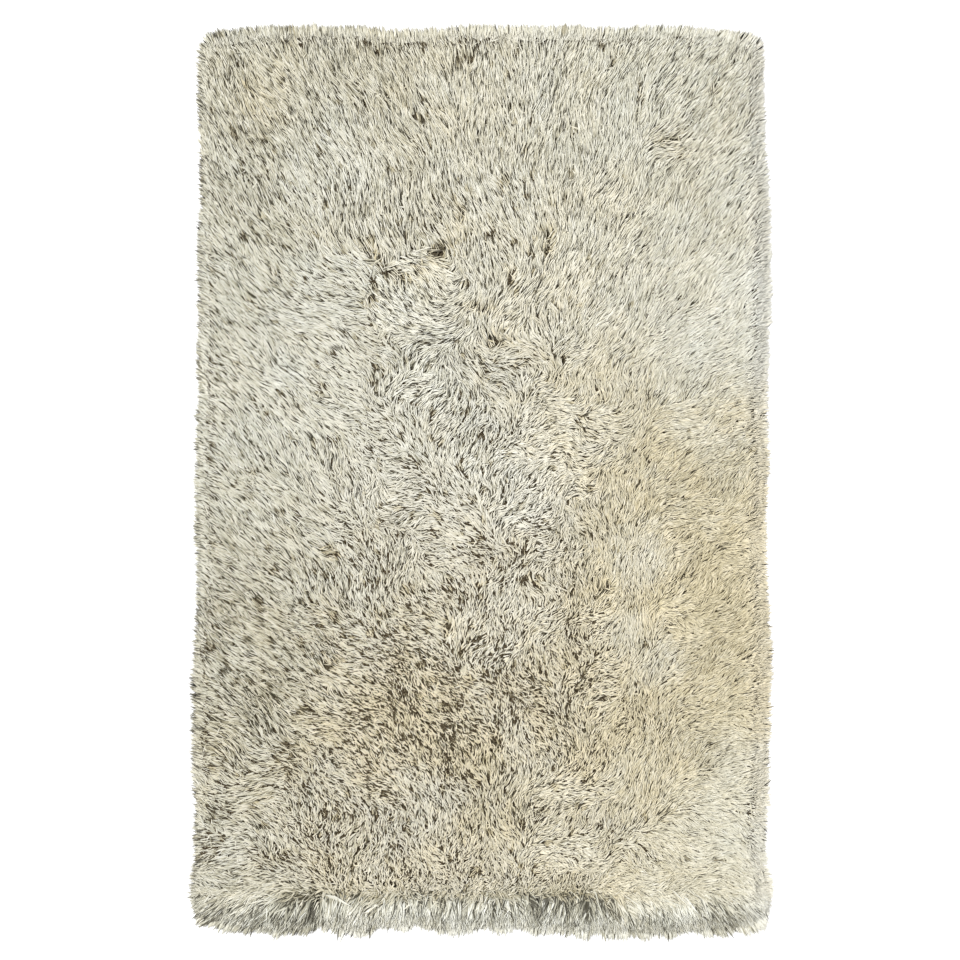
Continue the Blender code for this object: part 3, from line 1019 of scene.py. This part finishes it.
def make_bed(material):
    """A closed, undulating body under the yarns, over the backing."""
    across = round((PILE_HIGH.x - PILE_LOW.x) / BED_QUAD)
    along = round((PILE_HIGH.y - PILE_LOW.y) / BED_QUAD)
    steps = np.linspace(0, 1, across + 1), np.linspace(0, 1, along + 1)
    share_x, share_y = np.meshgrid(*steps, indexing="ij")
    y = NEAR_Y.min() + share_y * (FAR_Y.max() - NEAR_Y.min())
    ragged = [BED_RAGGED * patchy(side * SIDE_RIM_X, y, *BED_RIM_PATCHES) for side in (-1, 1)]
    left = np.interp(y, ROW_Y, LEFT_X) + BED_INSET + ragged[0]
    right = np.interp(y, ROW_Y, RIGHT_X) - BED_INSET + ragged[1]
    x = left + share_x * (right - left)
    ragged = BED_RAGGED * patchy(x, FAR_RIM_Y, *BED_RIM_PATCHES)
    far = np.interp(x, COLUMN_X, FAR_Y) - BED_INSET + ragged
    ragged = NEAR_BED_RAGGED * patchy(x, 0, *NEAR_BED_PATCHES)
    near = BACKING_LOW.y + NEAR_BED_INSET + ragged
    y = near + share_y * (far - near)
    inside = parted(x.ravel(), y.ravel()).reshape(x.shape)
    top = pile_height(x, y) - BED_DEPTH - BED_DIP * np.clip(inside, 0, 1)
    small, wide = patchy(x, y, *SMALL_BED_PATCHES), patchy(x, y, *BED_PATCHES)
    top += BED_UNEVEN * small + BED_UNEVEN * wide
    base = BACKING_HIGH.z + BED_GAP
    top = np.maximum(top, base + BED_THINNEST)
    count = top.size
    index = np.arange(count).reshape(top.shape)
    rim = np.concatenate([index[:, 0], index[-1, 1:], index[-2::-1, -1], index[0, -2:0:-1]])
    upper = np.stack([x.ravel(), y.ravel(), top.ravel()], 1)
    lower = upper[rim] * [1, 1, 0] + [0, 0, base]
    quads = np.stack([index[:-1, :-1], index[1:, :-1], index[1:, 1:], index[:-1, 1:]], -1)
    below = count + np.arange(len(rim))
    sides = np.stack([rim, below, np.roll(below, -1), np.roll(rim, -1)], 1)
    faces = [*quads.reshape(-1, 4).tolist(), *sides.tolist(), below[::-1].tolist()]
    mesh = bpy.data.meshes.new("pile_bed")
    mesh.from_pydata(np.concatenate([upper, lower]), [], faces)
    mesh.shade_smooth()
    bed = new_piece("pile_bed", mesh)
    bed.data.materials.append(material)
    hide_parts("pile")


# ---- Materials ----

# The colours of a yarn's tip and of its root, which is painted dark brown as the shade deep in the
# pile, from cool to warm, and how one turns into the other from the bottom of its row to the top.
TIP_COLOURS = ((0.0, (0.69, 0.69, 0.62)), (0.5, (0.707, 0.675, 0.56)), (1.0, (0.73, 0.65, 0.46)))
ROOT_SHADE_COLOURS = ((0.0, (0.10, 0.092, 0.056)), (1.0, (0.12, 0.092, 0.05)))
ROOT_SHADE_TO_TIP = ((0.18, (0, 0, 0)), (0.42, (0.72, 0.72, 0.72)), (0.75, (1, 1, 1)))

# The bed's colours from the middle of a packed yarn to the gap between two, all painted shade:
# dark brown for the depth of the pile, darkest in the gaps.
BED_SHADE_COLOURS = ((0.15, (0.19, 0.16, 0.10)), (0.45, (0.075, 0.057, 0.034)), (0.75, (0.02, 0.015, 0.008)))
BED_YARN_SCALE = 400.0
BED_DRIFT_SCALE = 120.0
BED_DRIFT = 0.006

# The backing's thread colours from low to high, its threads and the slubs in them. The low end is
# painted shade where the weave lies low, and the slubs vary the tone.
THREAD_COLOURS = ((0.0, (0.16, 0.12, 0.09)), (1.0, (0.48, 0.39, 0.29)))
THREAD_SCALE = 95.0
SLUB_SCALE = 60.0


def start_material(name):
    """A new material with its nodes, links and shader."""
    made = bpy.data.materials.new(name)
    made.use_nodes = True
    nodes = made.node_tree.nodes
    return made, nodes, made.node_tree.links, nodes["Principled BSDF"]


def ramp(nodes, stops):
    """A colour ramp with these stops: a place from 0 to 1 and a colour each."""
    made = nodes.new("ShaderNodeValToRGB")
    elements = made.color_ramp.elements
    while len(elements) < len(stops):
        elements.new(0.5)
    for element, (place, colour) in zip(elements, stops):
        element.position = place
        element.color = (*colour, 1.0)
    return made


def maths(nodes, links, operation, first, second=None):
    """A maths node. Each input is a socket or a number."""
    made = nodes.new("ShaderNodeMath")
    made.operation = operation
    for socket, value in zip(made.inputs, (first, second)):
        if value is None:
            continue
        if isinstance(value, (int, float)):
            socket.default_value = value
        else:
            links.new(value, socket)
    return made.outputs[0]


def mixed(nodes, links, blend, amount, first, second):
    """A colour mix node. The amount is a socket or a number."""
    made = nodes.new("ShaderNodeMix")
    made.data_type = "RGBA"
    made.blend_type = blend
    if isinstance(amount, (int, float)):
        made.inputs["Factor"].default_value = amount
    else:
        links.new(amount, made.inputs["Factor"])
    links.new(first, made.inputs["A"])
    links.new(second, made.inputs["B"])
    return made.outputs["Result"]


def set_inputs(node, **values):
    """Sets a node's sockets, whose names have a space for each underscore."""
    for name, value in values.items():
        node.inputs[name.replace("_", " ")].default_value = value


def texture(nodes, links, kind, place, **values):
    """A texture node of this kind, read at this place."""
    made = nodes.new("ShaderNodeTex" + kind)
    set_inputs(made, **values)
    links.new(place, made.inputs["Vector"])
    return made


def add_bump(nodes, links, shader, height, strength, distance):
    """A bump of this strength and distance from a height, on the shader's normal."""
    bump = nodes.new("ShaderNodeBump")
    set_inputs(bump, Strength=strength, Distance=distance)
    links.new(height, bump.inputs["Height"])
    links.new(bump.outputs["Normal"], shader.inputs["Normal"])
    return bump


def yarn_material():
    """Silky cut yarn, read from the shade chart: cool to warm, dark rows to light, root to tip, with
    the root end painted dark as the shade deep in the pile.
    """
    made, nodes, links, shader = start_material("silky_yarn")
    chart = nodes.new("ShaderNodeUVMap")
    chart.uv_map = "OFBake"
    split = nodes.new("ShaderNodeSeparateXYZ")
    links.new(chart.outputs["UV"], split.inputs[0])
    rows = maths(nodes, links, "MULTIPLY", split.outputs["Y"], float(SHADE_ROWS))
    along = maths(nodes, links, "FRACT", rows)
    row = maths(nodes, links, "FLOOR", rows)
    tips, roots = ramp(nodes, TIP_COLOURS), ramp(nodes, ROOT_SHADE_COLOURS)
    for colours in (tips, roots):
        links.new(split.outputs["X"], colours.inputs["Fac"])
    rise = ramp(nodes, ROOT_SHADE_TO_TIP)
    links.new(along, rise.inputs["Fac"])
    # The root end is painted dark as the shade deep in the pile.
    root_shade, to_tip = roots.outputs["Color"], tips.outputs["Color"]
    body = mixed(nodes, links, "MIX", rise.outputs["Color"], root_shade, to_tip)
    shade = ramp(nodes, SHADE_STOPS)
    links.new(maths(nodes, links, "DIVIDE", row, SHADE_ROWS - 1.0), shade.inputs["Fac"])
    lit = mixed(nodes, links, "MULTIPLY", 1.0, body, shade.outputs["Color"])
    links.new(lit, shader.inputs["Base Color"])
    set_inputs(shader, Roughness=0.50, Specular_IOR_Level=0.3, Sheen_Weight=0.15)
    set_inputs(shader, Sheen_Roughness=0.4, Sheen_Tint=(1.0, 0.98, 0.94, 1.0))
    return made


def bed_shade_material():
    """The depth of the pile: packed yarn seen from above, painted dark brown as the pile's shade,
    darkest as painted shade between the yarns.
    """
    made, nodes, links, shader = start_material("shaded_pile_depth")
    place = nodes.new("ShaderNodeTexCoord").outputs["Object"]
    drift = texture(nodes, links, "Noise", place, Scale=BED_DRIFT_SCALE)
    warped = nodes.new("ShaderNodeVectorMath")
    warped.operation = "MULTIPLY_ADD"
    links.new(drift.outputs["Color"], warped.inputs[0])
    warped.inputs[1].default_value = (BED_DRIFT, BED_DRIFT, BED_DRIFT)
    links.new(place, warped.inputs[2])
    yarns = texture(nodes, links, "Voronoi", warped.outputs[0], Scale=BED_YARN_SCALE)
    depth_shade = ramp(nodes, BED_SHADE_COLOURS)
    links.new(yarns.outputs["Distance"], depth_shade.inputs["Fac"])
    links.new(depth_shade.outputs["Color"], shader.inputs["Base Color"])
    bump = add_bump(nodes, links, shader, yarns.outputs["Distance"], 1.0, 0.003)
    bump.invert = True
    set_inputs(shader, Roughness=0.95, Specular_IOR_Level=0.1)
    return made


def backing_material():
    """Plain-woven jute cloth. The size that holds its tufts is not drawn."""
    made, nodes, links, shader = start_material("woven_backing")
    place = nodes.new("ShaderNodeTexCoord").outputs["Object"]
    waves = []
    for direction in ("X", "Y"):
        wave = texture(nodes, links, "Wave", place, Scale=THREAD_SCALE, Distortion=0.6, Detail=1.0)
        wave.wave_type = "BANDS"
        wave.bands_direction = direction
        waves.append(wave.outputs["Fac"])
    weave = maths(nodes, links, "MAXIMUM", waves[0], waves[1])
    slubs = texture(nodes, links, "Noise", place, Scale=SLUB_SCALE)
    threads = ramp(nodes, THREAD_COLOURS)
    # The weave's low places are painted darker as shade; the slubs vary the tone.
    tone = maths(nodes, links, "MULTIPLY", weave, slubs.outputs["Fac"])
    links.new(tone, threads.inputs["Fac"])
    links.new(threads.outputs["Color"], shader.inputs["Base Color"])
    add_bump(nodes, links, shader, weave, 0.6, 0.001)
    set_inputs(shader, Roughness=0.92)
    return made


# ---- The stage ----

# The camera looks at the middle of the floor, from this far, tilted from straight down by this
# many degrees, and sees this width there.
CAMERA_DISTANCE = 6.0
CAMERA_TILT = 2.0
FRAME_WIDTH = 1.901
SENSOR_WIDTH = 36.0

# The key light: its strength, its spread in degrees, and the direction it comes from.
KEY_STRENGTH = 4.14
KEY_SPREAD = 6.0
KEY_FROM = (-0.34, 0.16, 1.0)

STUDIO_STRENGTH = 0.54
FLOOR_SIZE = 60.0
FLOOR_COLOUR = (0.9, 0.9, 0.9, 1.0)


def make_floor():
    """A matt pale floor."""
    bpy.ops.mesh.primitive_plane_add(size=FLOOR_SIZE, location=(0, 0, 0))
    floor = bpy.context.object
    floor.name = "floor"
    made, _, _, shader = start_material("pale_floor")
    set_inputs(shader, Base_Color=FLOOR_COLOUR, Roughness=1.0, Specular_IOR_Level=0.0)
    floor.data.materials.append(made)


def make_sun(name, strength, spread, towards):
    """A distant light of this angular spread in degrees, from the direction it is given."""
    light = bpy.data.lights.new(name, "SUN")
    light.energy = strength
    light.angle = math.radians(spread)
    lamp = bpy.data.objects.new(name, light)
    lamp.rotation_euler = Vector(towards).to_track_quat("Z", "Y").to_euler()
    bpy.context.scene.collection.objects.link(lamp)


def make_camera():
    """The scene's camera, on the rug's middle line."""
    lens = bpy.data.cameras.new("camera")
    lens.type = "PERSP"
    lens.sensor_width = SENSOR_WIDTH
    lens.lens = SENSOR_WIDTH * CAMERA_DISTANCE / FRAME_WIDTH
    camera = bpy.data.objects.new("camera", lens)
    tilt = math.radians(CAMERA_TILT)
    camera.location = (0, -CAMERA_DISTANCE * math.sin(tilt), CAMERA_DISTANCE * math.cos(tilt))
    camera.rotation_euler = (tilt, 0, 0)
    bpy.context.scene.collection.objects.link(camera)
    bpy.context.scene.camera = camera


def make_world():
    """Even white light from all round."""
    world = bpy.data.worlds.new("studio")
    world.use_nodes = True
    background = world.node_tree.nodes["Background"]
    set_inputs(background, Color=(1.0, 1.0, 1.0, 1.0), Strength=STUDIO_STRENGTH)
    bpy.context.scene.world = world


def make_backing():
    """The CAD backing keeps its shape, and gets its woven material."""
    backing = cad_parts["backing"]
    for slot in backing.material_slots:
        slot.material = backing_material()


make_world()
make_camera()
make_floor()
make_sun("key", KEY_STRENGTH, KEY_SPREAD, KEY_FROM)
make_backing()
make_bed(bed_shade_material())
make_yarns(yarn_material())
bpy.context.scene.view_settings.view_transform = "Standard"
